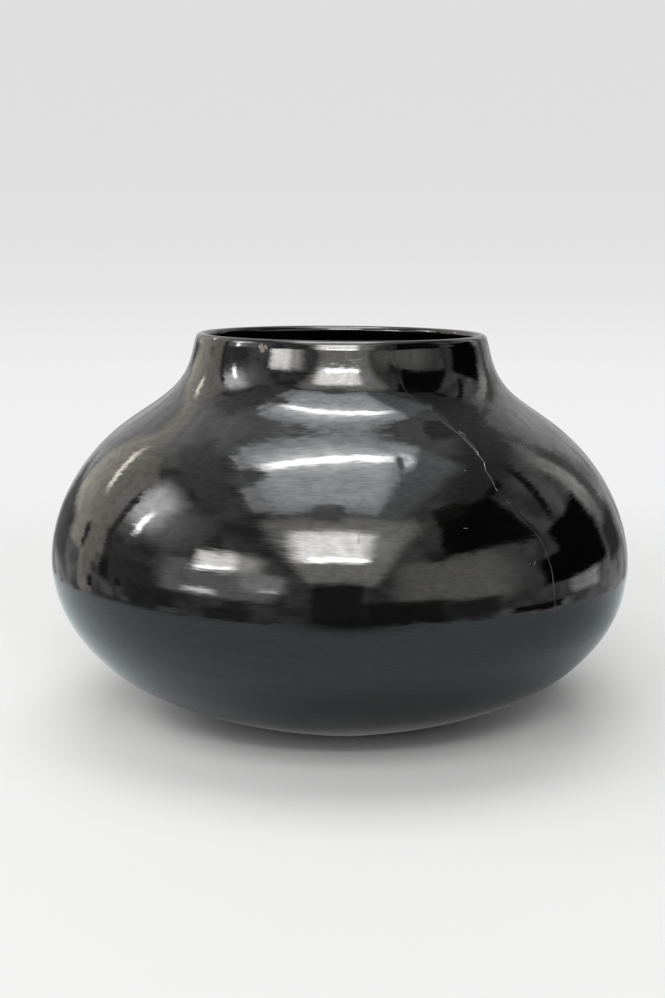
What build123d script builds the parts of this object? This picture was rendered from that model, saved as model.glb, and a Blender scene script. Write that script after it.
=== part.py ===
from build123d import *
from math import ceil, cos, radians, sin
import os

# A coil built, slipped and stone polished clay jar, fired black.
# Millimetres, +Z up, origin on the floor on the jar's axis.

# Finished outside: heights are from the floor, drops from the top of the lip,
# insets in from the belly and flares out from the lip
jar_height = 181.0
belly_radius = 135.0
belly_height = 78.0
lip_radius = 68.3
lip_slope = 95.0  # of the wall at the lip, degrees from level
lower_wall_inset = 47.1
lower_wall_height = 18.0
flank_inset = 7.8
flank_height = 49.6
shoulder_inset = 9.2
shoulder_share = 0.555  # how far up the shoulder lies from the belly to the shoulder's top
shoulder_top_inset = 32.9
shoulder_top_drop = 41.7
neck_root_flare = 21.3
neck_root_drop = 33.0
throat_flare = 5.5
throat_drop = 18.8

# Foot, where the jar stands
foot_radius = 40.0  # outer edge of the flat ring on the floor
rest_ring_width = 9.0
base_hollow = 3.0  # height of the underside at the axis
foot_flare = 5.5  # from the foot out to the lower edge of the slip
foot_rise = 2.0  # from the floor up to that edge
foot_slope = 20.0  # of the wall at that edge, degrees from level

# Clay wall and slip
wall_thickness = 6.0  # clay alone
lip_thickness = 5.0  # clay with the slip on both sides
lip_taper = 45.0  # length of wall that thins towards the lip
slip_thickness = 0.4
slip_inside = 25.0  # how far the slip runs down inside the neck
floor_height = 8.5  # inside floor at the axis
floor_width = 24.0  # length of wall, from the slip's edge, that the floor's curve backs
depth_spacing = 5.0  # along the wall, between the points that set out its depth

# Courses of clay, measured along the wall
base_pad_width = 54.0
rim_coil_width = 13.0
seam_lap = 8.0  # a seam lies this much lower inside than outside
coil_names = [
    "flank_coil_1", "flank_coil_2", "flank_coil_3",
    "belly_coil_1", "belly_coil_2",
    "shoulder_coil_1", "shoulder_coil_2", "shoulder_coil_3",
    "neck_coil_1", "neck_coil_2",
]


def slope_vector(slope):
    return Vector(cos(radians(slope)), 0, sin(radians(slope)))


def inward(line, place):
    tangent = line.tangent_at(place)
    return Vector(-tangent.Z, 0, tangent.X)


# A line beside another, on its inner side, from a place on it up to its end
def line_beside(line, depth_at, first=0.0):
    points = []
    steps = ceil((1 - first) * line.length / depth_spacing)
    for step in range(steps + 1):
        place = first + (1 - first) * step / steps
        points.append(line.position_at(place) + inward(line, place) * depth_at(place))
    return Edge.make_spline(points, tangents=[line.tangent_at(first), line.tangent_at(1)])


# The finished outside in section, from the slip's lower edge to the lip
shoulder_top_height = jar_height - shoulder_top_drop
lip_round = lip_thickness / 2
outside_points = [
    (foot_radius + foot_flare, 0, foot_rise),
    (belly_radius - lower_wall_inset, 0, lower_wall_height),
    (belly_radius - flank_inset, 0, flank_height),
    (belly_radius, 0, belly_height),
    (belly_radius - shoulder_inset, 0, belly_height + shoulder_share * (shoulder_top_height - belly_height)),
    (belly_radius - shoulder_top_inset, 0, shoulder_top_height),
    (lip_radius + neck_root_flare, 0, jar_height - neck_root_drop),
    (lip_radius + throat_flare, 0, jar_height - throat_drop),
    (lip_radius, 0, jar_height - lip_round * (1 + cos(radians(lip_slope)))),
]
end_slopes = [slope_vector(foot_slope), slope_vector(lip_slope)]
outside = Edge.make_spline(outside_points, tangents=end_slopes, scale=False)

# The two faces of the clay: the wall thins smoothly towards the lip
lip_clay = lip_thickness - 2 * slip_thickness


def clay_depth(place):
    share = min((1 - place) * outside.length / lip_taper, 1)
    swell = share * share * (3 - 2 * share)
    return slip_thickness + lip_clay + (wall_thickness - lip_clay) * swell


clay_outside = line_beside(outside, lambda place: slip_thickness)
clay_inside = line_beside(outside, clay_depth, floor_width / outside.length)


# Half round over the lip, a given depth under the finished surface
def lip_arc(depth):
    across = inward(outside, 1)
    start = outside @ 1 + across * depth
    end = outside @ 1 + across * (lip_thickness - depth)
    crown = (start + end) / 2 + slope_vector(lip_slope) * (lip_round - depth)
    return Edge.make_three_point_arc(start, crown, end)


# Where a seam meets the outer and the inner face, as shares of those two lines
def seam_at(distance):
    outer_place = distance / clay_outside.length
    beside = clay_inside.distance_to_with_closest_points(clay_outside @ outer_place)[1]
    inner_place = clay_inside.param_at_point(beside) - seam_lap / clay_inside.length
    return outer_place, inner_place


def seam_line(seam):
    return Edge.make_line(clay_outside @ seam[0], clay_inside @ seam[1])


def turned(edges):
    return revolve(make_face(edges), Axis.Z)


# The base, moulded in a shallow dish, with a hollow underside and a flat resting ring
def base_pad(top_seam):
    hollow_top = Vector(0, 0, base_hollow)
    ring_inner = Vector(foot_radius - rest_ring_width, 0, 0)
    ring_outer = Vector(foot_radius, 0, 0)
    floor_middle = Vector(0, 0, floor_height)
    level = slope_vector(0)
    return turned([
        Edge.make_tangent_arc(hollow_top, level, ring_inner),
        Edge.make_line(ring_inner, ring_outer),
        Edge.make_line(ring_outer, clay_outside @ 0),
        clay_outside.trim(0, top_seam[0]),
        seam_line(top_seam),
        clay_inside.trim(0, top_seam[1]),
        Edge.make_spline([floor_middle, clay_inside @ 0], tangents=[level, clay_inside % 0]),
        Edge.make_line(floor_middle, hollow_top),
    ])


# One coil of clay, lapped onto the course below and under the course above
def coil(lower_seam, upper_seam):
    return turned([
        seam_line(lower_seam),
        clay_outside.trim(lower_seam[0], upper_seam[0]),
        seam_line(upper_seam),
        clay_inside.trim(lower_seam[1], upper_seam[1]),
    ])


# The last coil, rounded over into the lip
def rim_coil(lower_seam):
    return turned([
        seam_line(lower_seam),
        clay_outside.trim(lower_seam[0], 1),
        lip_arc(slip_thickness),
        clay_inside.trim(lower_seam[1], 1),
    ])


# The polished coat over the outside, the lip and the top of the inside
def polished_slip():
    inner_end = 1 - slip_inside / clay_inside.length
    slip_face = line_beside(clay_inside, lambda place: slip_thickness, inner_end)
    return turned([
        outside,
        lip_arc(0),
        slip_face,
        Edge.make_line(slip_face @ 0, clay_inside @ inner_end),
        clay_inside.trim(inner_end, 1),
        lip_arc(slip_thickness),
        clay_outside,
        Edge.make_line(clay_outside @ 0, outside @ 0),
    ])


# Seams share out the wall between the base and the rim in equal coils
coil_width = (clay_outside.length - base_pad_width - rim_coil_width) / len(coil_names)
seams = [seam_at(base_pad_width + coil_width * number) for number in range(len(coil_names) + 1)]

pieces = {"base_pad": base_pad(seams[0])}
for name, lower_seam, upper_seam in zip(coil_names, seams, seams[1:]):
    pieces[name] = coil(lower_seam, upper_seam)
pieces["rim_coil"] = rim_coil(seams[-1])
pieces["polished_slip"] = polished_slip()

os.makedirs("parts", exist_ok=True)
for name, piece in pieces.items():
    export_step(piece, f"parts/{name}.step")
    size = piece.bounding_box().size
    print(f"{name}: {size.X:.1f} x {size.Y:.1f} x {size.Z:.1f} mm, {piece.volume / 1000:.1f} cm3")
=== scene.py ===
import math

import bmesh
import bpy
from mathutils import Matrix, Vector, noise
from mathutils.bvhtree import BVHTree


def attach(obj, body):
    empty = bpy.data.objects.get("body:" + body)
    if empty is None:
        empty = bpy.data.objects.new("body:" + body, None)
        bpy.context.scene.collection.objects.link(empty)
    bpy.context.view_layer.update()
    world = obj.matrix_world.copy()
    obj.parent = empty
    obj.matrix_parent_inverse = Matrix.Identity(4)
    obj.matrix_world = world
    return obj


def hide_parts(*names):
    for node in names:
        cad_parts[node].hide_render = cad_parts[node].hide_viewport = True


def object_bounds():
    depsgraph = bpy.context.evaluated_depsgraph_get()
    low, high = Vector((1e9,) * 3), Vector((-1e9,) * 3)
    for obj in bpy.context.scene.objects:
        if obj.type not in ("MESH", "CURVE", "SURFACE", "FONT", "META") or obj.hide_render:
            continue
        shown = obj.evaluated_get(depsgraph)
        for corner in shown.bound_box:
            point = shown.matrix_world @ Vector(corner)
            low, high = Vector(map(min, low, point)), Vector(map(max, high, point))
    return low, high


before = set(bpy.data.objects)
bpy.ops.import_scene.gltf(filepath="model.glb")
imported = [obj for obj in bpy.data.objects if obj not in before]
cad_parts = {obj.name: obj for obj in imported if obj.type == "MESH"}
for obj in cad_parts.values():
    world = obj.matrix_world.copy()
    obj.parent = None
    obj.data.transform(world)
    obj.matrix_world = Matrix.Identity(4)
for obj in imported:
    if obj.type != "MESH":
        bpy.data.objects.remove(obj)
cadLow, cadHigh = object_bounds()
scene = bpy.context.scene
print("frame loaded,", len(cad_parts), "nodes")

mm = 0.001
tiny = 1e-6  # metres, closer points are one point
sideSlack = 0.01  # degrees, closer sides are one side


# The photograph's viewpoint: a little above the rim, looking slightly down
viewpoint = {
    "place": (-0.0032, -0.7002, 0.2196),
    "lookDown": 9.42,  # degrees
    "lens": 54.11,  # mm, on the picture's long side
    "sensor": 36.0,
}


def placeCamera():
    data = bpy.data.cameras.new("photoView")
    data.lens = viewpoint["lens"]
    data.sensor_width = viewpoint["sensor"]
    camera = bpy.data.objects.new("photoView", data)
    camera.location = viewpoint["place"]
    camera.rotation_euler = (math.radians(90 - viewpoint["lookDown"]), 0, 0)
    scene.collection.objects.link(camera)
    scene.camera = camera


placeCamera()
print("camera placed")


# Shared helpers for places on the jar
def sideOf(place):  # degrees to the right of the jar's front, which faces -Y
    return math.degrees(math.atan2(place.x, -place.y))


def atSide(side, reach, height):
    turn = math.radians(side)
    return Vector((reach * math.sin(turn), -reach * math.cos(turn), height))


def along(stops, where):  # straight lines between (where, value) stops
    for (low, first), (high, second) in zip(stops, stops[1:]):
        if where <= high:
            share = max((where - low) / (high - low), 0)
            return first + (second - first) * share
    return stops[-1][1]


def smoothAlong(stops, where):  # one smooth line through (where, value) stops
    grades = []
    for number in range(len(stops)):
        before, after = stops[max(number - 1, 0)], stops[min(number + 1, len(stops) - 1)]
        grades.append((after[1] - before[1]) / (after[0] - before[0]))
    where = min(max(where, stops[0][0]), stops[-1][0])
    for number, ((low, first), (high, second)) in enumerate(zip(stops, stops[1:])):
        if where <= high:
            break
    span = high - low
    share = (where - low) / span
    rest = 1 - share
    value = first * rest * rest * (1 + 2 * share) + second * share * share * (1 + 2 * rest)
    return value + span * share * rest * (grades[number] * rest - grades[number + 1] * share)


# How a hand built wall departs from the true round one
handBuilt = {
    # height and sideways shift, mm
    "lean": [
        (0, 1.6), (40, 0.8), (78, 0.0), (110, -0.3), (140, -0.5), (152, -0.2), (164, 0.7), (182, 0.9),
    ],
    # height and how far the wall stands out, mm
    "girth": [
        (0, 0.4), (14, 1.1), (26, 1.4), (40, 0.3), (60, 0.1), (78, 0.0), (100, -0.3), (130, -0.5),
        (150, -0.9), (164, -0.3), (174, -0.1), (182, -0.8),
    ],
    "rimFrom": 150 * mm,  # where the rise and the tilt of the rim begin
    "rimRise": 0.8 * mm,
    "rimTilt": 0.45 * mm,  # lower on the right
    "hollow": 1.2 * mm,  # the front of the neck's root is drawn in
    "hollowHeight": 152.6 * mm,
    "hollowSpread": 11 * mm,
    "oval": 0.35 * mm,
    "ovalSide": 25.0,  # degrees
    "swell": 0.22 * mm,  # slow hollows and swellings
    "swellSize": 60 * mm,
    # dents: degrees right of the front, height, width, depth in mm
    "dents": [(14.4, 135.6, 2.8, 0.36)],
    "dentCuts": 2,  # finer columns of faces on both sides of a dent
    "stroke": 0.035 * mm,  # facets left by the polishing stone
    "strokeLength": 0.45,  # radians round the jar
    "strokeWidth": 7.5 * mm,
    "fullFrom": 40 * mm,  # nearer the axis all of this fades out
}


def handShape(place):
    reach = place.xy.length
    if reach < tiny:
        return place.copy()
    outward = Vector((place.x, place.y, 0)) / reach
    turn = math.radians(sideOf(place))
    bulge = handBuilt["oval"] * math.cos(2 * (turn - math.radians(handBuilt["ovalSide"])))
    bulge += handBuilt["swell"] * noise.noise(place / handBuilt["swellSize"])
    stroke = outward / handBuilt["strokeLength"]
    stroke.z = place.z / handBuilt["strokeWidth"]
    bulge += handBuilt["stroke"] * noise.noise(stroke)
    bulge += smoothAlong(handBuilt["girth"], place.z / mm) * mm
    apart = (place.z - handBuilt["hollowHeight"]) / handBuilt["hollowSpread"]
    bulge -= handBuilt["hollow"] * math.exp(-apart * apart) * max(math.cos(turn), 0) ** 2
    for side, height, width, depth in handBuilt["dents"]:
        across = reach * (turn - math.radians(side)) / mm / width
        upward = (place.z / mm - height) / width
        bulge -= depth * mm * math.exp(-across * across - upward * upward)
    moved = place + outward * bulge * min(reach / handBuilt["fullFrom"], 1)
    moved.x += smoothAlong(handBuilt["lean"], place.z / mm) * mm
    share = max((place.z - handBuilt["rimFrom"]) / (cadHigh.z - handBuilt["rimFrom"]), 0)
    moved.z += share * share * (handBuilt["rimRise"] - handBuilt["rimTilt"] * outward.x)
    return moved


# Half of a ring's section on its +X side, as loose edges
def halfSection(nodeName):
    bm = bmesh.new()
    bm.from_mesh(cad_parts[nodeName].data)
    bmesh.ops.remove_doubles(bm, verts=bm.verts, dist=tiny)
    whole = bm.verts[:] + bm.edges[:] + bm.faces[:]
    cut = bmesh.ops.bisect_plane(bm, geom=whole, dist=tiny, plane_co=(0, 0, 0), plane_no=(0, 1, 0))
    cutVerts = [part for part in cut["geom_cut"] if isinstance(part, bmesh.types.BMVert)]
    kept = {v for v in cutVerts if v.co.x > -tiny}
    bmesh.ops.delete(bm, geom=[v for v in bm.verts if v not in kept], context="VERTS")
    return bm


def spinRing(bm, columns):
    quarterTurn = math.tau / 4
    bmesh.ops.spin(bm, geom=bm.verts[:] + bm.edges[:], cent=(0, 0, 0), axis=(0, 0, 1),
                   angle=quarterTurn, steps=columns // 4)
    quarter = bm.verts[:] + bm.edges[:] + bm.faces[:]
    for number in range(1, 4):
        copied = bmesh.ops.duplicate(bm, geom=quarter)["geom"]
        verts = [part for part in copied if isinstance(part, bmesh.types.BMVert)]
        turn = Matrix.Rotation(number * quarterTurn, 3, "Z")
        bmesh.ops.rotate(bm, verts=verts, cent=(0, 0, 0), matrix=turn)
    bmesh.ops.remove_doubles(bm, verts=bm.verts, dist=tiny)
    bmesh.ops.recalc_face_normals(bm, faces=bm.faces)
    bm.normal_update()


def finishPiece(bm, name, nodeName, material, sharpTurn):
    bmesh.ops.triangulate(bm, faces=[f for f in bm.faces if len(f.verts) > 4])
    for face in bm.faces:
        face.smooth = True
    for edge in bm.edges:
        edge.smooth = len(edge.link_faces) != 2 or edge.calc_face_angle() < math.radians(sharpTurn)
    mesh = bpy.data.meshes.new(name)
    bm.to_mesh(mesh)
    bm.free()
    mesh.materials.append(material)
    piece = bpy.data.objects.new(name, mesh)
    scene.collection.objects.link(piece)
    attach(piece, "root")
    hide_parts(nodeName)


# Material helpers
def addNode(tree, kind, spot, settings=None, inputs=None):
    node = tree.nodes.new(kind)
    node.location = (spot[0] * 200, spot[1] * -180)
    for key, value in (settings or {}).items():
        setattr(node, key, value)
    for key, value in (inputs or {}).items():
        node.inputs[key].default_value = value
    return node


def addVector(tree, spot, operation, inputs=None):
    return addNode(tree, "ShaderNodeVectorMath", spot, {"operation": operation}, inputs)


def addNoise(tree, spot, source, scale, detail):
    node = addNode(tree, "ShaderNodeTexNoise", spot, inputs={"Scale": scale, "Detail": detail})
    tree.links.new(source, node.inputs["Vector"])
    return node


def newMaterial(name):
    material = bpy.data.materials.new(name)
    material.use_nodes = True
    tree = material.node_tree
    tree.nodes.clear()
    return material, tree


def addRange(tree, spot, source, low, high, toLow, toHigh):
    node = addNode(tree, "ShaderNodeMapRange", spot, {"interpolation_type": "SMOOTHSTEP"})
    for key, value in (("From Min", low), ("From Max", high), ("To Min", toLow), ("To Max", toHigh)):
        node.inputs[key].default_value = value
    tree.links.new(source, node.inputs["Value"])
    return node.outputs["Result"]


def addMix(tree, spot, amount, first, second):
    node = addNode(tree, "ShaderNodeMix", spot, {"data_type": "RGBA"})
    tree.links.new(amount, node.inputs["Factor"])
    for value, socket in ((first, node.inputs[6]), (second, node.inputs[7])):
        if isinstance(value, tuple):
            socket.default_value = (*value, 1)
        else:
            tree.links.new(value, socket)
    return node.outputs[2]


def addMath(tree, spot, operation, first, second):
    node = addNode(tree, "ShaderNodeMath", spot, {"operation": operation})
    for value, socket in ((first, node.inputs[0]), (second, node.inputs[1])):
        if isinstance(value, (int, float)):
            socket.default_value = value
        else:
            tree.links.new(value, socket)
    return node.outputs[0]


# Strokes that a hand draws round the jar: long along the wall, narrow up it, wandering a little
strokeDrift = {
    "noise": (14.0, 1.0),  # scale and detail
    "height": 14 * mm,
}


def makeHandStrokes():
    tree = bpy.data.node_groups.new("handStrokes", "ShaderNodeTree")
    face = tree.interface
    face.new_socket("Vector", in_out="INPUT", socket_type="NodeSocketVector")
    for name in ("Length", "Width", "Detail"):
        face.new_socket(name, in_out="INPUT", socket_type="NodeSocketFloat")
    face.new_socket("Fac", in_out="OUTPUT", socket_type="NodeSocketFloat")
    face.new_socket("Color", in_out="OUTPUT", socket_type="NodeSocketColor")
    start = addNode(tree, "NodeGroupInput", (0, 0))
    parts = addNode(tree, "ShaderNodeSeparateXYZ", (1, 1))
    flat = addNode(tree, "ShaderNodeCombineXYZ", (2, 1))
    unit = addVector(tree, (3, 1), "NORMALIZE")
    stretched = addVector(tree, (4, 1), "SCALE")
    lift = addNode(tree, "ShaderNodeCombineXYZ", (6, 2))
    total = addVector(tree, (7, 1), "ADD")
    end = addNode(tree, "NodeGroupOutput", (9, 1))
    link = tree.links.new
    link(start.outputs["Vector"], parts.inputs[0])
    link(parts.outputs["X"], flat.inputs["X"])
    link(parts.outputs["Y"], flat.inputs["Y"])
    link(flat.outputs[0], unit.inputs[0])
    link(unit.outputs[0], stretched.inputs[0])
    link(start.outputs["Length"], stretched.inputs["Scale"])
    drift = addNoise(tree, (2, 3), start.outputs["Vector"], *strokeDrift["noise"])
    shift = addMath(tree, (3, 3), "MULTIPLY", drift.outputs["Fac"], strokeDrift["height"])
    wander = addMath(tree, (4, 3), "ADD", parts.outputs["Z"], shift)
    link(addMath(tree, (5, 2), "MULTIPLY", wander, start.outputs["Width"]), lift.inputs["Z"])
    link(stretched.outputs[0], total.inputs[0])
    link(lift.outputs[0], total.inputs[1])
    strokes = addNoise(tree, (8, 1), total.outputs[0], 1.0, 0.0)
    link(start.outputs["Detail"], strokes.inputs["Detail"])
    link(strokes.outputs["Fac"], end.inputs["Fac"])
    link(strokes.outputs["Color"], end.inputs["Color"])
    return tree


# A short mark between two points: 1 on its line, 0 a ragged width away
markEdge = {
    "noise": (900.0, 3.0),  # scale and detail
    "fade": (0.9, 1.5),  # in widths from the line, with the noise added
}


def makeShortMark():
    tree = bpy.data.node_groups.new("shortMark", "ShaderNodeTree")
    face = tree.interface
    for name in ("Vector", "Start", "Along"):
        face.new_socket(name, in_out="INPUT", socket_type="NodeSocketVector")
    face.new_socket("Width", in_out="INPUT", socket_type="NodeSocketFloat")
    face.new_socket("Mask", in_out="OUTPUT", socket_type="NodeSocketFloat")
    start = addNode(tree, "NodeGroupInput", (0, 0))
    away = addVector(tree, (1, 0), "SUBTRACT")
    reach = addVector(tree, (2, 0), "DOT_PRODUCT")
    whole = addVector(tree, (2, 1), "DOT_PRODUCT")
    share = addNode(tree, "ShaderNodeMath", (3, 0), {"operation": "DIVIDE", "use_clamp": True})
    foot = addVector(tree, (4, 0), "SCALE")
    apart = addVector(tree, (5, 0), "DISTANCE")
    ratio = addNode(tree, "ShaderNodeMath", (6, 0), {"operation": "DIVIDE"})
    ragged = addNoise(tree, (5, 1), start.outputs["Vector"], *markEdge["noise"])
    end = addNode(tree, "NodeGroupOutput", (9, 0))
    link = tree.links.new
    link(start.outputs["Vector"], away.inputs[0])
    link(start.outputs["Start"], away.inputs[1])
    link(away.outputs["Vector"], reach.inputs[0])
    link(start.outputs["Along"], reach.inputs[1])
    link(start.outputs["Along"], whole.inputs[0])
    link(start.outputs["Along"], whole.inputs[1])
    link(reach.outputs["Value"], share.inputs[0])
    link(whole.outputs["Value"], share.inputs[1])
    link(start.outputs["Along"], foot.inputs[0])
    link(share.outputs[0], foot.inputs["Scale"])
    link(away.outputs["Vector"], apart.inputs[0])
    link(foot.outputs["Vector"], apart.inputs[1])
    link(apart.outputs["Value"], ratio.inputs[0])
    link(start.outputs["Width"], ratio.inputs[1])
    rough = addMath(tree, (7, 0), "ADD", ratio.outputs[0], ragged.outputs["Fac"])
    link(addRange(tree, (8, 0), rough, *markEdge["fade"], 1.0, 0.0), end.inputs["Mask"])
    return tree


handStrokes = makeHandStrokes()
shortMark = makeShortMark()


def addStrokes(tree, spot, coords, length, width, detail):
    inputs = {"Length": length, "Width": width, "Detail": detail}
    strokes = addNode(tree, "ShaderNodeGroup", spot, {"node_tree": handStrokes}, inputs)
    tree.links.new(coords, strokes.inputs["Vector"])
    return strokes


# Leans the surface by the three channels of the strokes
def addFacets(tree, spot, normal, strokes, amount):
    across, down = spot
    centred = addVector(tree, spot, "SUBTRACT", {1: (0.5, 0.5, 0.5)})
    scaled = addVector(tree, (across + 1, down), "SCALE", {"Scale": amount})
    leaned = addVector(tree, (across + 2, down), "ADD")
    tree.links.new(strokes.outputs["Color"], centred.inputs[0])
    tree.links.new(centred.outputs[0], scaled.inputs[0])
    tree.links.new(normal, leaned.inputs[0])
    tree.links.new(scaled.outputs[0], leaned.inputs[1])
    return leaned.outputs[0]


# The stone polished slip: black, glassy, with the strokes of the stone
slipFinish = {
    "black": (0.0006, 0.0006, 0.0007),
    "brown": (0.0018, 0.0016, 0.0014),
    "brownNoise": (22.0, 4.0),  # scale and detail
    "brownFrom": (0.42, 0.68),
    "crackDust": (0.035, 0.033, 0.030),
    "crackFrom": (0.15, 0.75),
    "crackRough": 0.8,
    "rough": (0.05, 0.12),  # between the hair strokes and on them
    "roughFrom": (0.42, 0.70),
    "index": 1.5,
    "shine": 0.34,  # of the slip under its burnish
    "coat": (0.08, 0.16),  # burnish between the hair strokes and on them
    "coatFrom": (0.3, 0.7),
    "coatRough": 0.035,
    "coatIndex": 2.0,
    # strokes: how close they lie along and up the wall, detail; and how far their facets lean
    "broadStrokes": (3.0, 110.0, 1.0),
    "broadLean": 0.028,
    "stoneStrokes": (14.0, 700.0, 2.0),
    "stoneLean": 0.040,
    "hairStrokes": (18.0, 2600.0, 2.0),
    "hairLean": 0.050,
}
# Small marks: kind, then degrees right of the front and height in mm of both ends, and width in mm
marks = [
    ("chip", (-30.8, 178.2), (-29.9, 177.0), 1.7),
    ("chip", (-29.0, 178.4), (-28.4, 177.6), 0.9),
    ("nick", (-4.9, 180.0), (-4.3, 177.4), 0.30),
    ("nick", (2.1, 173.6), (7.0, 173.7), 0.40),
    ("nick", (4.0, 123.2), (3.2, 107.0), 0.50),
    ("speck", (27.3, 131.6), (27.5, 131.4), 0.30),
    ("speck", (22.9, 111.0), (23.6, 110.9), 0.18),
    ("speck", (36.2, 94.5), (36.4, 95.4), 0.34),
    ("speck", (35.2, 95.2), (35.3, 95.0), 0.24),
]
markLooks = {  # colour and roughness
    "chip": ((0.115, 0.100, 0.080), 0.55),
    "nick": ((0.0010, 0.0010, 0.0010), 0.34),
    "speck": ((0.12, 0.115, 0.10), 0.60),
}


# How far from the axis the finished outside lies at a height
def outsideReach(height):
    bm = halfSection("polished_slip")
    reaches = []
    for edge in bm.edges:
        low, high = sorted((v.co for v in edge.verts), key=lambda co: co.z)
        if low.z <= height < high.z:
            reaches.append(low.lerp(high, (height - low.z) / (high.z - low.z)).x)
    bm.free()
    return max(reaches)


def markEnd(side, height):
    return handShape(atSide(side, outsideReach(height * mm), height * mm))


def addMarks(tree, coords, wanted):
    total = None
    for number, (kind, first, second, width) in enumerate(marks):
        if kind != wanted:
            continue
        start = markEnd(*first)
        sockets = {"Start": start, "Along": markEnd(*second) - start, "Width": width * mm}
        node = addNode(tree, "ShaderNodeGroup", (1, 6 + number), {"node_tree": shortMark}, sockets)
        tree.links.new(coords, node.inputs["Vector"])
        mask = node.outputs["Mask"]
        total = addMath(tree, (2, 6 + number), "MAXIMUM", total, mask) if total else mask
    return total


def makeSlipMaterial():
    material, tree = newMaterial("polishedSlip")
    link = tree.links.new
    coords = addNode(tree, "ShaderNodeTexCoord", (0, 0)).outputs["Object"]
    broad = addStrokes(tree, (1, 0), coords, *slipFinish["broadStrokes"])
    stone = addStrokes(tree, (1, 1), coords, *slipFinish["stoneStrokes"])
    hair = addStrokes(tree, (1, 2), coords, *slipFinish["hairStrokes"])
    hairMask = hair.outputs["Fac"]
    cloud = addNoise(tree, (1, 3), coords, *slipFinish["brownNoise"]).outputs["Fac"]
    crack = addNode(tree, "ShaderNodeAttribute", (1, 4), {"attribute_name": "crack"}).outputs["Fac"]
    patch = addRange(tree, (3, 3), cloud, *slipFinish["brownFrom"], 0.0, 1.0)
    colour = addMix(tree, (4, 3), patch, slipFinish["black"], slipFinish["brown"])
    crackMask = addRange(tree, (3, 4), crack, *slipFinish["crackFrom"], 0.0, 1.0)
    colour = addMix(tree, (5, 3), crackMask, colour, slipFinish["crackDust"])
    rough = addRange(tree, (4, 1), hairMask, *slipFinish["roughFrom"], *slipFinish["rough"])
    dusty = addMath(tree, (4, 4), "MULTIPLY", crackMask, slipFinish["crackRough"])
    rough = addMath(tree, (5, 1), "MAXIMUM", rough, dusty)
    for column, (kind, (markColour, markRough)) in enumerate(markLooks.items()):
        mask = addMarks(tree, coords, kind)
        colour = addMix(tree, (6 + column, 3), mask, colour, markColour)
        dulled = addMath(tree, (6 + column, 4), "MULTIPLY", mask, markRough)
        rough = addMath(tree, (6 + column, 1), "MAXIMUM", rough, dulled)
    normal = addNode(tree, "ShaderNodeNewGeometry", (2, -1)).outputs["Normal"]
    normal = addFacets(tree, (3, -1), normal, broad, slipFinish["broadLean"])
    normal = addFacets(tree, (5, -1), normal, stone, slipFinish["stoneLean"])
    normal = addFacets(tree, (7, -1), normal, hair, slipFinish["hairLean"])
    unit = addVector(tree, (10, -1), "NORMALIZE")
    link(normal, unit.inputs[0])
    coat = addRange(tree, (10, 2), hairMask, *slipFinish["coatFrom"], *slipFinish["coat"])
    uncracked = addMath(tree, (10, 3), "SUBTRACT", 1.0, crackMask)
    coat = addMath(tree, (11, 2), "MULTIPLY", coat, uncracked)
    shader = addNode(tree, "ShaderNodeBsdfPrincipled", (12, 1), inputs={
        "IOR": slipFinish["index"],
        "Specular IOR Level": slipFinish["shine"],
        "Coat IOR": slipFinish["coatIndex"],
        "Coat Roughness": slipFinish["coatRough"],
    })
    link(colour, shader.inputs["Base Color"])
    link(coat, shader.inputs["Coat Weight"])
    link(rough, shader.inputs["Roughness"])
    link(unit.outputs[0], shader.inputs["Normal"])
    output = addNode(tree, "ShaderNodeOutputMaterial", (13, 1))
    link(shader.outputs[0], output.inputs["Surface"])
    return material


# Smoke blackened bare clay, scraped smooth
clayFinish = {
    "soot": (0.016, 0.0148, 0.0140),
    "ash": (0.046, 0.0415, 0.0375),
    "ashNoise": (30.0, 6.0),  # scale and detail
    "ashFrom": (0.35, 0.70),
    "grain": (0.12, 0.11, 0.10),
    "grainNoise": (900.0, 2.0),
    "grainFrom": (0.66, 0.74),
    "grainMost": 0.7,
    "grainBump": 0.12 * mm,
    "scrapes": (4.0, 260.0, 4.0),  # how close they lie along and up the wall, detail
    "scrapeFrom": (0.3, 0.7),
    "scrapeBump": 0.35 * mm,
    "rough": (0.48, 0.72),  # between the scrapes and on them
}


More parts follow.
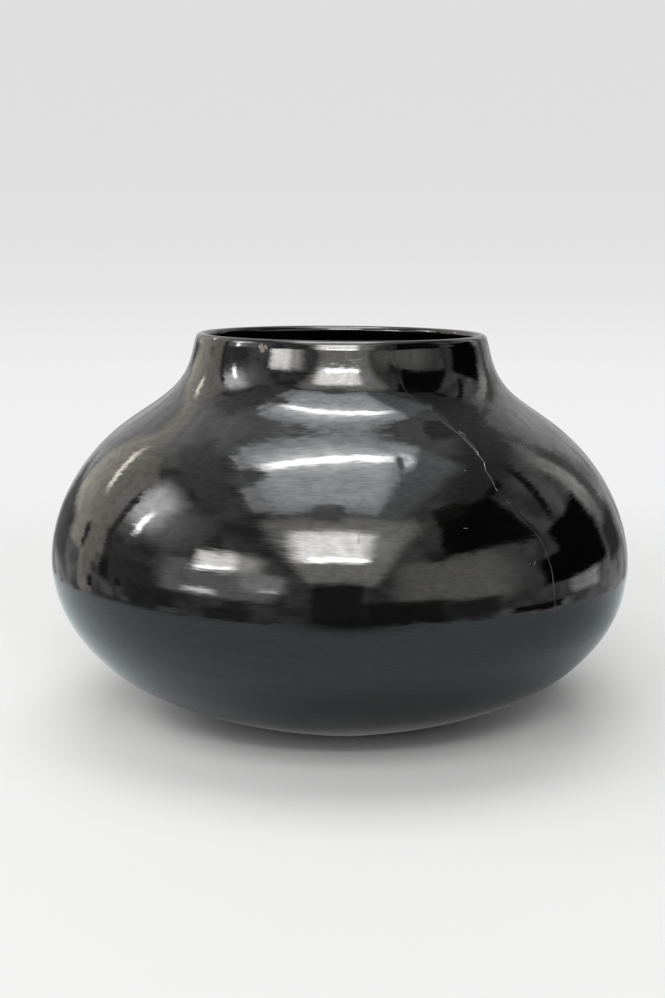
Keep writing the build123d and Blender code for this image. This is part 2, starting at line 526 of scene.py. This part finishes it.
def makeClayMaterial():
    material, tree = newMaterial("smokedClay")
    link = tree.links.new
    coords = addNode(tree, "ShaderNodeTexCoord", (0, 0)).outputs["Object"]
    scrape = addStrokes(tree, (1, 0), coords, *clayFinish["scrapes"]).outputs["Fac"]
    cloud = addNoise(tree, (1, 1), coords, *clayFinish["ashNoise"]).outputs["Fac"]
    grit = addNoise(tree, (1, 2), coords, *clayFinish["grainNoise"]).outputs["Fac"]
    ashy = addRange(tree, (3, 1), cloud, *clayFinish["ashFrom"], 0.0, 1.0)
    colour = addMix(tree, (4, 1), ashy, clayFinish["soot"], clayFinish["ash"])
    gritty = addRange(tree, (3, 2), grit, *clayFinish["grainFrom"], 0.0, clayFinish["grainMost"])
    colour = addMix(tree, (5, 1), gritty, colour, clayFinish["grain"])
    rough = addRange(tree, (4, 0), scrape, *clayFinish["scrapeFrom"], *clayFinish["rough"])
    scrapeBump = addNode(tree, "ShaderNodeBump", (5, 0), inputs={"Distance": clayFinish["scrapeBump"]})
    link(scrape, scrapeBump.inputs["Height"])
    gritBump = addNode(tree, "ShaderNodeBump", (6, 0), inputs={"Distance": clayFinish["grainBump"]})
    link(grit, gritBump.inputs["Height"])
    link(scrapeBump.outputs["Normal"], gritBump.inputs["Normal"])
    shader = addNode(tree, "ShaderNodeBsdfPrincipled", (7, 1))
    link(colour, shader.inputs["Base Color"])
    link(rough, shader.inputs["Roughness"])
    link(gritBump.outputs["Normal"], shader.inputs["Normal"])
    output = addNode(tree, "ShaderNodeOutputMaterial", (8, 1))
    link(shader.outputs[0], output.inputs["Surface"])
    return material


slipMaterial = makeSlipMaterial()
clayMaterial = makeClayMaterial()
print("materials made")


# The polished coat, with a drying crack down its right shoulder
slipShape = {
    "columns": 200,
    "profileSteps": 5,  # rings between two points of the frame's section
    "cornerTurn": 60.0,  # degrees, the run over the outside ends at such a corner
    "sharpTurn": 50.0,  # degrees, an edge that turns more isn't smoothed
    "lipHalf": 2.5 * mm,  # half the thickness of the lip
    "lipSquare": 3.0,  # 2 is a round outer edge, more is squarer
    "lipReach": 1.5,  # half thicknesses from the lip's middle that are squared
    "lipEase": 0.8 * mm,  # the wall eases in under the lip
    "lipEaseFrom": 4.0 * mm,  # below its top
}
hairline = {
    # height in mm, degrees right of the front, and how open it is
    "path": [
        (50, 44.0, 0.0), (60, 42.4, 0.35), (69, 40.8, 0.45), (80, 40.3, 0.35), (91, 40.1, 0.6),
        (100, 39.4, 0.9), (107, 38.2, 1.0), (113, 35.8, 1.0), (120, 34.0, 1.0), (124, 32.6, 1.0),
        (128, 32.7, 1.0), (131, 32.4, 1.0), (134, 33.3, 1.0), (140, 32.5, 0.8), (144, 31.9, 0.5),
        (150, 29.1, 0.3), (155, 27.0, 0.35), (157, 24.2, 0.4), (160, 22.0, 0.4), (164, 20.1, 0.35),
        (171, 18.3, 0.25), (174, 17.8, 0.0),
    ],
    # the same for its fork, with degrees to the right of the crack
    "fork": [
        (136.5, 0.0, 0.0), (137, 0.3, 0.7), (140, 1.1, 0.8), (144, 1.45, 0.6), (145.5, 1.5, 0.0),
    ],
    "column": 36.0,  # the mesh column that is drawn onto the crack
    "spread": 45.0,  # degrees of wall that gives way to it
    "leftCuts": 2,  # finer columns on its left
    "rightCuts": 5,  # and on its right, where the fork runs
    "width": 0.20 * mm,
    "depth": 0.22 * mm,
}


def pathAt(path, height):
    side = along([(z, s) for z, s, wide in path], height)
    openness = along([(z, wide) for z, s, wide in path], height)
    return side, openness


def slipSection():
    bm = halfSection("polished_slip")
    foot = min(bm.verts, key=lambda v: v.co.z)
    ahead = max((e.other_vert(foot) for e in foot.link_edges), key=lambda v: v.co.x)
    run = [foot, ahead]
    while True:
        onward = next(v for v in (e.other_vert(ahead) for e in ahead.link_edges) if v != run[-2])
        turn = (ahead.co - run[-2].co).angle(onward.co - ahead.co)
        if turn > math.radians(slipShape["cornerTurn"]):
            break
        run.append(onward)
        ahead = onward
    curve = bpy.data.curves.new("slipProfile", "CURVE")
    curve.dimensions = "3D"
    spline = curve.splines.new("NURBS")
    spline.points.add(len(run) - 1)
    for point, vert in zip(spline.points, run):
        point.co = (*vert.co, 1)
    spline.order_u = 4
    spline.use_endpoint_u = True
    spline.resolution_u = slipShape["profileSteps"]
    profile = bpy.data.objects.new("slipProfile", curve)
    smoothRun = bpy.data.meshes.new_from_object(profile)
    bpy.data.objects.remove(profile)
    bmesh.ops.delete(bm, geom=run[1:-1], context="VERTS")
    bm.from_mesh(smoothRun)
    bmesh.ops.remove_doubles(bm, verts=bm.verts, dist=tiny)
    return bm


# Finer columns of faces for the crack and the dents, all the way round the section
def splitColumns(bm, fromSide, toSide, cuts):
    edges = []
    for edge in bm.edges:
        sides = sorted(sideOf(v.co) for v in edge.verts)
        if abs(sides[0] - fromSide) < sideSlack and abs(sides[1] - toSide) < sideSlack:
            edges.append(edge)
    bmesh.ops.subdivide_edges(bm, edges=edges, cuts=cuts, use_grid_fill=True)


def carveHairline(bm):
    column = hairline["column"]
    columnStep = 360 / slipShape["columns"]
    splitColumns(bm, column - columnStep, column, hairline["leftCuts"])
    splitColumns(bm, column, column + columnStep, hairline["rightCuts"])
    for side, height, width, depth in handBuilt["dents"]:
        for first in (side - columnStep, side):
            splitColumns(bm, first, first + columnStep, handBuilt["dentCuts"])
    bm.normal_update()
    opened = bm.verts.layers.float.new("crack")
    for v in bm.verts:
        apart = sideOf(v.co) - column
        if abs(apart) >= hairline["spread"]:
            continue
        reach, height = v.co.xy.length, v.co.z / mm
        side, openness = pathAt(hairline["path"], height)
        forkApart, forkOpen = pathAt(hairline["fork"], height)
        half = math.degrees(hairline["width"] / 2 / reach)
        fork = max(forkApart, 3 * half)
        leftStep = round(-apart / columnStep * (hairline["leftCuts"] + 1))
        rightStep = round(apart / columnStep * (hairline["rightCuts"] + 1))
        depth = 0
        if -columnStep < apart + sideSlack and 0 <= leftStep <= hairline["leftCuts"]:
            newSide = side - (0, half, 4 * half)[leftStep]
            depth = openness if leftStep == 0 else 0
        elif 0 < rightStep <= hairline["rightCuts"]:
            newSide = side + (0, half, fork - half, fork, fork + half, fork + 2 * half)[rightStep]
            depth = forkOpen if rightStep == 3 else 0
        else:
            newSide = column + apart + (side - column) * (1 - (apart / hairline["spread"]) ** 2) ** 2
        v[opened] = depth
        v.co = atSide(newSide, reach, v.co.z) - v.normal * hairline["depth"] * depth
    bm.normal_update()


# Squares the outer edge of the lip a little, as a wiped rim is
def squareLip(bm):
    crown = max(bm.verts, key=lambda v: v.co.z).co.copy()
    middle = Vector((crown.x, 0, crown.z - slipShape["lipHalf"]))
    power = slipShape["lipSquare"]
    for v in bm.verts:
        apart = v.co - middle
        if apart.x > 0 and apart.z > 0 and apart.length < slipShape["lipReach"] * slipShape["lipHalf"]:
            unit = apart.normalized()
            v.co = middle + apart * (unit.x ** power + unit.z ** power) ** (-1 / power)
        share = 1 - (crown.z - v.co.z) / slipShape["lipEaseFrom"]
        if share > 0 and apart.x > 0:
            v.co.x -= slipShape["lipEase"] * share * share * min(apart.x / slipShape["lipHalf"], 1)


def makeSlip():
    bm = slipSection()
    squareLip(bm)
    spinRing(bm, slipShape["columns"])
    carveHairline(bm)
    for v in bm.verts:
        v.co = handShape(v.co)
    finishPiece(bm, "polishedSlip", "polished_slip", slipMaterial, slipShape["sharpTurn"])


makeSlip()
print("slip made")


# The clay courses under it, each its own ring
clayShape = {
    "columns": 160,
    "step": 2.2 * mm,  # longest face up the wall
    "finger": 0.5 * mm,  # hollows that fingers left inside
    "fingerSize": 13 * mm,
    "fingerDepth": (3.5 * mm, 6.0 * mm),  # under the slip, where they begin and are full
    "fingerHeight": (5 * mm, 8 * mm),  # and above the floor
    "sharpTurn": 40.0,  # degrees
}
jarMiddle = (cadLow + cadHigh) / 2
slipTree = BVHTree.FromPolygons(
    [v.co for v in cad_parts["polished_slip"].data.vertices],
    [list(f.vertices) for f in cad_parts["polished_slip"].data.polygons],
)


def ease(value, low, high):
    share = min(max((value - low) / (high - low), 0), 1)
    return share * share * (3 - 2 * share)


# Pressed in by fingers, only where the bare inside is
def fingered(place):
    depth = slipTree.find_nearest(place)[3]
    amount = ease(depth, *clayShape["fingerDepth"]) * ease(place.z, *clayShape["fingerHeight"])
    press = noise.noise(place / clayShape["fingerSize"]) * clayShape["finger"] * amount
    return place + (place - jarMiddle).normalized() * press


def makeClay(nodeName):
    bm = halfSection(nodeName)
    for edge in bm.edges[:]:
        cuts = math.floor(edge.calc_length() / clayShape["step"])
        if cuts:
            bmesh.ops.subdivide_edges(bm, edges=[edge], cuts=cuts)
    spinRing(bm, clayShape["columns"])
    for v in bm.verts:
        v.co = handShape(fingered(v.co))
    name = nodeName.title().replace("_", "")
    finishPiece(bm, name, nodeName, clayMaterial, clayShape["sharpTurn"])


clayNodes = sorted(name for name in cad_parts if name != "polished_slip")
for nodeName in clayNodes:
    makeClay(nodeName)
print("clay made,", len(clayNodes), "courses")


# A pale floor and soft light
studio = {
    "floorSize": 1.0,
    "floorSides": 128,
    "floorDrop": 0.05 * mm,  # under the jar's foot
    "floorFade": (0.30, 0.70),  # metres from the jar, where it passes into the backdrop
    "floorColour": (0.77, 0.77, 0.765),
    "mirrorFloorSize": 0.385,  # the floor that the polish mirrors
    "mirrorFloorDrop": 0.02 * mm,
    "mirrorFloorFade": (0.33, 0.43),
    "mirrorFloorRagged": 0.07,  # share that its far edge steps in and out
    "mirrorFloorStep": 7.0,  # degrees
    # the mirrored floor is tinted cool, a painted tint for the bluish light in its shade
    "mirrorFloorColour": (0.74, 0.80, 0.82),
    "mirrorFloorShade": ((0.23, 0.0, 0.0), 0.27, (0.45, 0.49, 0.50)),  # painted shadow of the jar on the floor's right: middle, reach and colour
    "cardNoise": (9.0, 3.0),  # scale and detail
    "cardGlow": (0.80, 1.14),  # share of a card's brightness, between its clouds and in them
    "skyNoise": (7.0, 5.0),
    "skyGlow": (0.55, 1.5),
    "cloudFrom": (0.3, 0.7),
    "lightFar": 5.0,
}
# Soft lights on the floor: degrees right of the front, degrees up, width and height in degrees,
# brightness
lights = {
    "topLight": (0.0, 90.0, 38.0, 38.0, 2.6),
    "frontLight": (-7.5, 33.0, 50.0, 34.0, 5.2),
    "stripLight": (-1.5, 30.8, 20.0, 2.2, 52.0),
    "leftLight": (-90.0, 46.0, 52.0, 28.0, 1.2),
    "backLight": (180.0, 12.0, 73.0, 24.0, 2.4),
}
# Soft boxes and dark flags that only the polish mirrors: degrees right of the front, degrees up,
# width and height in degrees, brightness, share that fades at the edge, metres from the jar
cards = {
    "frontBox": (-4.5, 36.0, 36.0, 22.0, 17.0, 0.23, 2.20),
    "frontStrip": (-1.5, 28.4, 27.0, 3.2, 48.0, 0.25, 2.15),
    "frontSpill": (14.0, 36.0, 20.0, 24.0, 3.8, 0.45, 2.30),
    "frontHaze": (0.5, 33.0, 67.0, 49.0, 2.8, 0.16, 2.50),
    "frontNotch": (-7.0, 54.6, 13.0, 11.0, 1.2, 0.20, 1.80),
    "leftBox": (-48.5, 20.6, 20.0, 13.0, 14.5, 0.24, 2.20),
    "leftStrip": (-48.5, 16.6, 19.0, 2.4, 30.0, 0.25, 2.15),
    "leftTail": (-38.0, 21.0, 21.0, 17.0, 6.0, 0.40, 2.30),
    "sideBox": (-92.0, 33.5, 28.0, 25.0, 6.6, 0.38, 2.20),
    "sideStrip": (-89.5, 25.5, 4.5, 14.0, 24.0, 0.35, 2.15),
    "sideHaze": (-87.0, 31.0, 62.0, 30.0, 2.1, 0.45, 2.40),
    "backStrip": (-129.5, 26.5, 22.0, 4.0, 6.5, 0.35, 2.15),
    "backPanel": (180.0, 34.0, 76.0, 44.0, 0.9, 0.25, 2.70),
    "backPanelSide": (-160.0, 18.0, 32.0, 36.0, 0.75, 0.20, 2.65),
    "backPanelLeft": (-148.0, 50.0, 52.0, 34.0, 1.05, 0.30, 2.60),
    "leftDark": (-100.0, 54.0, 50.0, 13.0, 0.68, 0.15, 2.35),
    "backPanelRight": (148.0, 47.0, 50.0, 30.0, 0.82, 0.30, 2.60),
    "leftPanel": (-123.5, 21.0, 47.0, 42.0, 1.30, 0.05, 2.60),
    "leftGlow": (-47.0, 9.0, 52.0, 23.0, 1.85, 0.15, 2.60),
    "leftGap": (-86.0, 3.0, 34.0, 20.0, 0.34, 0.25, 2.30),
    "leftSlot": (-102.5, 22.0, 6.0, 46.0, 0.26, 0.30, 2.20),
    "lowSlot": (-99.0, 0.5, 9.0, 14.0, 0.10, 0.30, 1.98),
    "lowBitA": (-112.0, -3.0, 5.0, 9.0, 0.9, 0.25, 1.96),
    "lowBitB": (-108.0, -8.0, 5.0, 7.0, 0.08, 0.25, 1.95),
    "lowBitC": (-104.0, 2.5, 4.0, 8.0, 0.8, 0.25, 1.96),
    "lowBitD": (-95.0, -10.0, 5.0, 6.0, 0.9, 0.25, 1.95),
    "lowBitE": (-90.0, -4.0, 4.0, 5.0, 0.08, 0.25, 1.95),
    "lowBitF": (-87.0, -12.0, 7.0, 4.0, 0.7, 0.25, 1.96),
    "lowBitG": (-117.0, 7.0, 5.0, 12.0, 0.14, 0.30, 1.96),
    "lowBitH": (-66.0, -14.0, 12.0, 4.0, 0.9, 0.25, 1.96),
    "lowBox": (-53.0, 2.6, 17.0, 5.0, 11.0, 0.30, 2.20),
    "lowBoxRight": (-29.0, 10.5, 22.0, 14.0, 3.4, 0.30, 2.20),
    "lowStripRight": (-27.0, 7.0, 10.0, 2.0, 9.0, 0.30, 2.15),
    "lowBoxLeft": (-113.0, -3.0, 13.0, 32.0, 1.2, 0.25, 2.00),
    "lowFlagBack": (-143.0, -1.0, 32.0, 19.0, 0.20, 0.25, 2.05),
    "lowFlagLeft": (-74.0, -9.0, 28.0, 20.0, 0.26, 0.20, 2.10),
    "lowFlagMid": (-42.0, -12.0, 22.0, 11.0, 0.24, 0.20, 2.10),
    "frontFlag": (-1.5, -3.0, 22.0, 38.0, 0.16, 0.12, 2.05),
    "lowFlagRight": (24.0, -8.5, 40.0, 23.0, 0.11, 0.20, 2.10),
    "lowFlagFar": (49.0, -7.5, 28.0, 15.0, 0.22, 0.25, 2.10),
    "lowFlagEdge": (78.0, -13.0, 29.0, 5.0, 0.04, 0.15, 2.00),
    "lowBoxEdge": (78.0, -14.5, 44.0, 9.0, 1.0, 0.20, 2.05),
    "rightGlow": (44.0, 10.5, 60.0, 41.0, 1.65, 0.30, 2.60),
    "rightFlag": (65.0, 36.0, 25.0, 26.0, 0.02, 0.08, 2.10),
    "rightFlagLow": (39.0, 26.0, 11.0, 9.0, 0.25, 0.35, 2.20),
    "rightFlagTop": (57.0, 47.0, 16.0, 9.0, 0.08, 0.25, 2.10),
    "rightDim": (104.0, 51.0, 90.0, 22.0, 0.30, 0.30, 2.40),
    "farRightFlag": (102.0, 5.0, 48.0, 16.0, 0.01, 0.10, 2.10),
    "farRightTop": (107.0, 16.0, 34.0, 14.0, 0.01, 0.15, 2.10),
    "farRightArm": (106.0, 35.0, 6.0, 32.0, 0.05, 0.30, 2.15),
    "farRightBar": (91.0, 46.0, 16.0, 4.0, 0.05, 0.30, 2.15),
    "farRightGlow": (128.5, 25.0, 13.0, 30.0, 1.4, 0.30, 2.50),
    "backFlagRight": (136.0, 14.0, 10.0, 46.0, 0.30, 0.30, 2.15),
    "backFlagHigh": (139.5, 52.0, 6.0, 44.0, 0.30, 0.30, 2.15),
    "farBackFlag": (134.0, 0.0, 22.0, 14.0, 0.10, 0.25, 2.05),
    "lowBoxFar": (105.0, -5.5, 26.0, 9.0, 1.75, 0.25, 2.00),
}
# Cards that aren't upright oblongs: degrees turned, width at the bottom as a share of the top's
cardShapes = {
    "frontBox": (0, 0.86),
    "frontHaze": (0, 0.34),
    "leftBox": (-9, 1),
    "leftSlot": (-8, 1),
    "leftStrip": (-9, 1),
    "backStrip": (40, 1),
    "rightFlag": (6, 1.9),
    "farRightArm": (30, 1),
}
roundCards = ["footShade"]
tints = {
    "warm": (1.0, 0.95, 0.84),
    "cream": (1.0, 0.99, 0.96),
    "cool": (0.97, 0.995, 1.015),
    "plain": (1.0, 1.0, 1.0),
}
cardTints = {
    "backStrip": "warm", "leftPanel": "warm", "lowBoxLeft": "warm",
    "leftBox": "cream", "leftTail": "cream", "frontBox": "cream", "frontHaze": "cream",
    "rightGlow": "cream", "farRightGlow": "cream",
    "topHalo": "cool", "topMain": "cool", "topGlow": "cool",
}
# Level cards: middle, size, degrees turned, brightness, share that fades at the edge
levelCards = {
    "topStrip": ((-0.10, 0.066, 2.0), (1.47, 0.22), 8.0, 27.0, 0.25),
    "topBand": ((-0.15, 0.04, 2.02), (1.40, 0.95), 8.0, 10.0, 0.50),
    "topHalo": ((-0.13, -0.38, 2.05), (1.60, 1.90), -4.0, 5.8, 0.22),
    "topMain": ((-0.15, -0.375, 2.08), (1.58, 2.07), -4.0, 3.3, 0.06),
    "topCorner": ((-1.03, -0.80, 2.07), (0.26, 0.80), -4.0, 3.2, 0.15),
    "topBack": ((0.25, 0.70, 2.01), (1.40, 0.32), 0.0, 0.8, 0.12),
    "topSide": ((-0.89, 0.22, 2.03), (0.14, 0.62), 0.0, 3.2, 0.30),
    "topGap": ((-0.82, -0.15, 2.01), (0.28, 0.42), 0.0, 0.9, 0.20),
    "topGlow": ((0.0, -0.42, 2.1), (2.45, 2.20), -10.0, 1.4, 0.12),
    # footShade and frontShade are painted shadow: dim sheets that only the polish mirrors, for the
    # floor's shade round the foot and in front
    "footShade": ((0.015, 0.0, 0.0008), (0.30, 0.30), 0.0, 0.13, 0.27),
    "frontShade": ((0.02, -0.38, 0.001), (0.30, 0.26), 0.0, 0.10, 0.45),
}


def showTo(thing, camera=False, diffuse=False, glossy=False, shadow=False):
    thing.visible_camera = camera
    thing.visible_diffuse = diffuse
    thing.visible_glossy = glossy
    thing.visible_shadow = shadow
    thing.visible_transmission = False
    thing.visible_volume_scatter = False


def addStage(bm, name, material):
    mesh = bpy.data.meshes.new(name)
    bm.to_mesh(mesh)
    bm.free()
    mesh.materials.append(material)
    thing = bpy.data.objects.new(name, mesh)
    scene.collection.objects.link(thing)
    return thing


def floorMaterial(name, colour, fade, shade):
    material, tree = newMaterial(name)
    coords = addNode(tree, "ShaderNodeTexCoord", (0, 0)).outputs["Object"]
    away = addVector(tree, (1, 0), "LENGTH")
    tree.links.new(coords, away.inputs[0])
    shader = addNode(tree, "ShaderNodeBsdfDiffuse", (2, 1), inputs={"Color": (*colour, 1)})
    # painted shadow: the colour darkens towards the given middle
    if shade:
        middle, reach, darker = shade
        apart = addVector(tree, (0, 1), "DISTANCE", {1: middle})
        tree.links.new(coords, apart.inputs[0])
        amount = addRange(tree, (1, 1), apart.outputs["Value"], 0.0, reach, 1.0, 0.0)
        tree.links.new(addMix(tree, (1, 2), amount, colour, darker), shader.inputs["Color"])
    clear = addNode(tree, "ShaderNodeBsdfTransparent", (2, 2))
    mix = addNode(tree, "ShaderNodeMixShader", (3, 0))
    tree.links.new(addRange(tree, (2, 0), away.outputs["Value"], *fade, 0.0, 1.0), mix.inputs["Fac"])
    tree.links.new(shader.outputs[0], mix.inputs[1])
    tree.links.new(clear.outputs[0], mix.inputs[2])
    output = addNode(tree, "ShaderNodeOutputMaterial", (4, 0))
    tree.links.new(mix.outputs[0], output.inputs["Surface"])
    return material


def makeFloor(name, radius, drop, colour, fade, ragged=0, shade=None):
    bm = bmesh.new()
    bmesh.ops.create_circle(bm, cap_ends=True, segments=studio["floorSides"], radius=radius)
    for v in bm.verts:
        step = noise.cell(Vector((sideOf(v.co) / studio["mirrorFloorStep"], 0, 0)))
        v.co *= 1 + ragged * (step - 0.5)
    bmesh.ops.translate(bm, verts=bm.verts, vec=(0, 0, -drop))
    return addStage(bm, name, floorMaterial(name, colour, fade, shade))


# 1 on a card, fading to 0 at its edge
def addEdgeFade(tree, place, fade, rounded):
    link = tree.links.new
    if rounded:
        centred = addVector(tree, (1, 0), "SUBTRACT", {1: (0.5, 0.5, 0)})
        away = addVector(tree, (2, 0), "LENGTH")
        link(place, centred.inputs[0])
        link(centred.outputs[0], away.inputs[0])
        inset = addMath(tree, (3, 0), "SUBTRACT", 0.5, away.outputs["Value"])
        return addRange(tree, (4, 0), inset, 0.0, fade, 0.0, 1.0)
    parts = addNode(tree, "ShaderNodeSeparateXYZ", (1, 0))
    link(place, parts.inputs[0])
    edges = []
    for row, axis in enumerate("XY"):
        inset = addMath(tree, (2, row), "PINGPONG", parts.outputs[axis], 0.5)
        edges.append(addRange(tree, (3, row), inset, 0.0, fade, 0.0, 1.0))
    return addMath(tree, (4, 0), "MULTIPLY", edges[0], edges[1])


def cardMaterial(name, tint, glow, fade):
    material, tree = newMaterial(name)
    link = tree.links.new
    coords = addNode(tree, "ShaderNodeTexCoord", (0, 0))
    mask = addEdgeFade(tree, coords.outputs["UV"], fade, name in roundCards)
    clear = addNode(tree, "ShaderNodeBsdfTransparent", (4, 1))
    light = addNode(tree, "ShaderNodeEmission", (5, 2), inputs={"Color": (*tint, 1)})
    cloud = addNoise(tree, (2, 3), coords.outputs["Object"], *studio["cardNoise"]).outputs["Fac"]
    levels = [glow * share for share in studio["cardGlow"]]
    uneven = addRange(tree, (3, 3), cloud, *studio["cloudFrom"], *levels)
    link(uneven, light.inputs["Strength"])
    mix = addNode(tree, "ShaderNodeMixShader", (5, 0))
    link(mask, mix.inputs["Fac"])
    link(clear.outputs[0], mix.inputs[1])
    link(light.outputs[0], mix.inputs[2])
    output = addNode(tree, "ShaderNodeOutputMaterial", (6, 0))
    link(mix.outputs[0], output.inputs["Surface"])
    return material


def makeCard(name, place, size, glow, fade):
    bm = bmesh.new()
    bm.loops.layers.uv.new("UVMap")
    bmesh.ops.create_grid(bm, x_segments=8, y_segments=8, size=0.5, calc_uvs=True)
    turned, narrow = cardShapes.get(name, (0, 1))
    for v in bm.verts:
        v.co.x *= narrow + (1 - narrow) * (v.co.y + 0.5)
    turn = Matrix.Rotation(math.radians(turned), 4, "Z")
    bmesh.ops.transform(bm, matrix=place @ turn @ Matrix.Diagonal((*size, 1, 1)), verts=bm.verts)
    tint = tints[cardTints.get(name, "plain")]
    showTo(addStage(bm, name, cardMaterial(name, tint, glow, fade)), glossy=True)


def towards(side, up):  # a unit step that way from the jar
    return atSide(side, math.cos(math.radians(up)), math.sin(math.radians(up)))


def spanOf(angle, far):  # metres that an angle spans at a distance
    return 2 * far * math.tan(math.radians(angle / 2))


def makeStandingCard(name, side, up, wide, tall, glow, fade, far):
    outward = towards(side, up)
    size = (spanOf(wide, far), spanOf(tall, far))
    turn = (-outward).to_track_quat("Z", "Y").to_matrix().to_4x4()
    makeCard(name, Matrix.Translation(jarMiddle + outward * far) @ turn, size, glow, fade)


def makeLevelCard(name, middle, size, turned, glow, fade):
    place = Matrix.Translation(middle) @ Matrix.Rotation(math.radians(turned), 4, "Z")
    makeCard(name, place, size, glow, fade)


# The glow round the cards, the soft light on the floor and the backdrop: sine of the height above
# level, brightness
studioGlow = [
    (-1.0, 0.45), (-0.2, 0.45), (0.0, 0.5), (0.25, 0.55), (0.85, 0.55), (0.92, 0.9), (0.97, 2.0),
    (1.0, 3.0),
]
softSky = [(-1.0, 0.05), (0.6, 0.05), (1.0, 0.12)]
backdrop = [
    (-1.0, 0.87), (-0.12, 0.88), (-0.08, 0.87), (-0.04, 0.81), (0.0, 0.765), (0.05, 0.745), (1.0, 0.71),
]


def addSky(tree, spot, source, stops, clouds=None):
    across, down = spot
    steps = addNode(tree, "ShaderNodeValToRGB", spot)
    top = max(level for place, level in stops)
    elements = steps.color_ramp.elements
    while len(elements) < len(stops):
        elements.new(1.0)
    for element, (place, level) in zip(elements, stops):
        element.position = (place + 1) / 2
        element.color = (level / top, level / top, level / top, 1)
    tree.links.new(source, steps.inputs["Fac"])
    glow = addNode(tree, "ShaderNodeBackground", (across + 2, down), inputs={"Strength": top})
    tree.links.new(steps.outputs["Color"], glow.inputs["Color"])
    if clouds:
        uneven = addMath(tree, (across + 1, down), "MULTIPLY", clouds, top)
        tree.links.new(uneven, glow.inputs["Strength"])
    return glow.outputs[0]


def makeWorld():
    world = bpy.data.worlds.new("studioWorld")
    world.use_nodes = True
    tree = world.node_tree
    tree.nodes.clear()
    link = tree.links.new
    direction = addNode(tree, "ShaderNodeTexCoord", (0, 0)).outputs["Generated"]
    parts = addNode(tree, "ShaderNodeSeparateXYZ", (1, 0))
    link(direction, parts.inputs[0])
    upward = addNode(tree, "ShaderNodeMapRange", (2, 0), inputs={"From Min": -1.0})
    link(parts.outputs["Z"], upward.inputs["Value"])
    height = upward.outputs["Result"]
    paths = addNode(tree, "ShaderNodeLightPath", (4, -1))
    bounce = addNode(tree, "ShaderNodeMixShader", (6, 1))
    final = addNode(tree, "ShaderNodeMixShader", (7, 1))
    link(paths.outputs["Is Glossy Ray"], bounce.inputs["Fac"])
    link(addSky(tree, (3, 2), height, softSky), bounce.inputs[1])
    cloud = addNoise(tree, (2, 4), direction, *studio["skyNoise"]).outputs["Fac"]
    clouds = addRange(tree, (3, 4), cloud, *studio["cloudFrom"], *studio["skyGlow"])
    link(addSky(tree, (3, 0), height, studioGlow, clouds), bounce.inputs[2])
    link(paths.outputs["Is Camera Ray"], final.inputs["Fac"])
    link(bounce.outputs[0], final.inputs[1])
    link(addSky(tree, (3, 1), height, backdrop), final.inputs[2])
    output = addNode(tree, "ShaderNodeOutputWorld", (8, 1))
    link(final.outputs[0], output.inputs["Surface"])
    scene.world = world


def makeLight(name, side, up, wide, tall, glow):
    outward = towards(side, up)
    data = bpy.data.lights.new(name, "AREA")
    data.shape = "RECTANGLE"
    data.size = spanOf(wide, studio["lightFar"])
    data.size_y = spanOf(tall, studio["lightFar"])
    data.energy = glow * math.pi * data.size * data.size_y
    light = bpy.data.objects.new(name, data)
    light.location = outward * studio["lightFar"]
    light.rotation_euler = outward.to_track_quat("Z", "Y").to_euler()
    scene.collection.objects.link(light)
    light.visible_glossy = False
    light.visible_camera = False


floor = makeFloor(
    "floor", studio["floorSize"], studio["floorDrop"], studio["floorColour"], studio["floorFade"],
)
showTo(floor, camera=True, diffuse=True, shadow=True)
mirroredFloor = makeFloor(
    "mirroredFloor", studio["mirrorFloorSize"], studio["mirrorFloorDrop"], studio["mirrorFloorColour"],
    studio["mirrorFloorFade"], studio["mirrorFloorRagged"], studio["mirrorFloorShade"],
)
showTo(mirroredFloor, glossy=True)
for name, values in cards.items():
    makeStandingCard(name, *values)
for name, values in levelCards.items():
    makeLevelCard(name, *values)
makeWorld()
for name, values in lights.items():
    makeLight(name, *values)
scene.view_settings.view_transform = "Standard"
print("studio made,", len(cards) + len(levelCards), "cards")
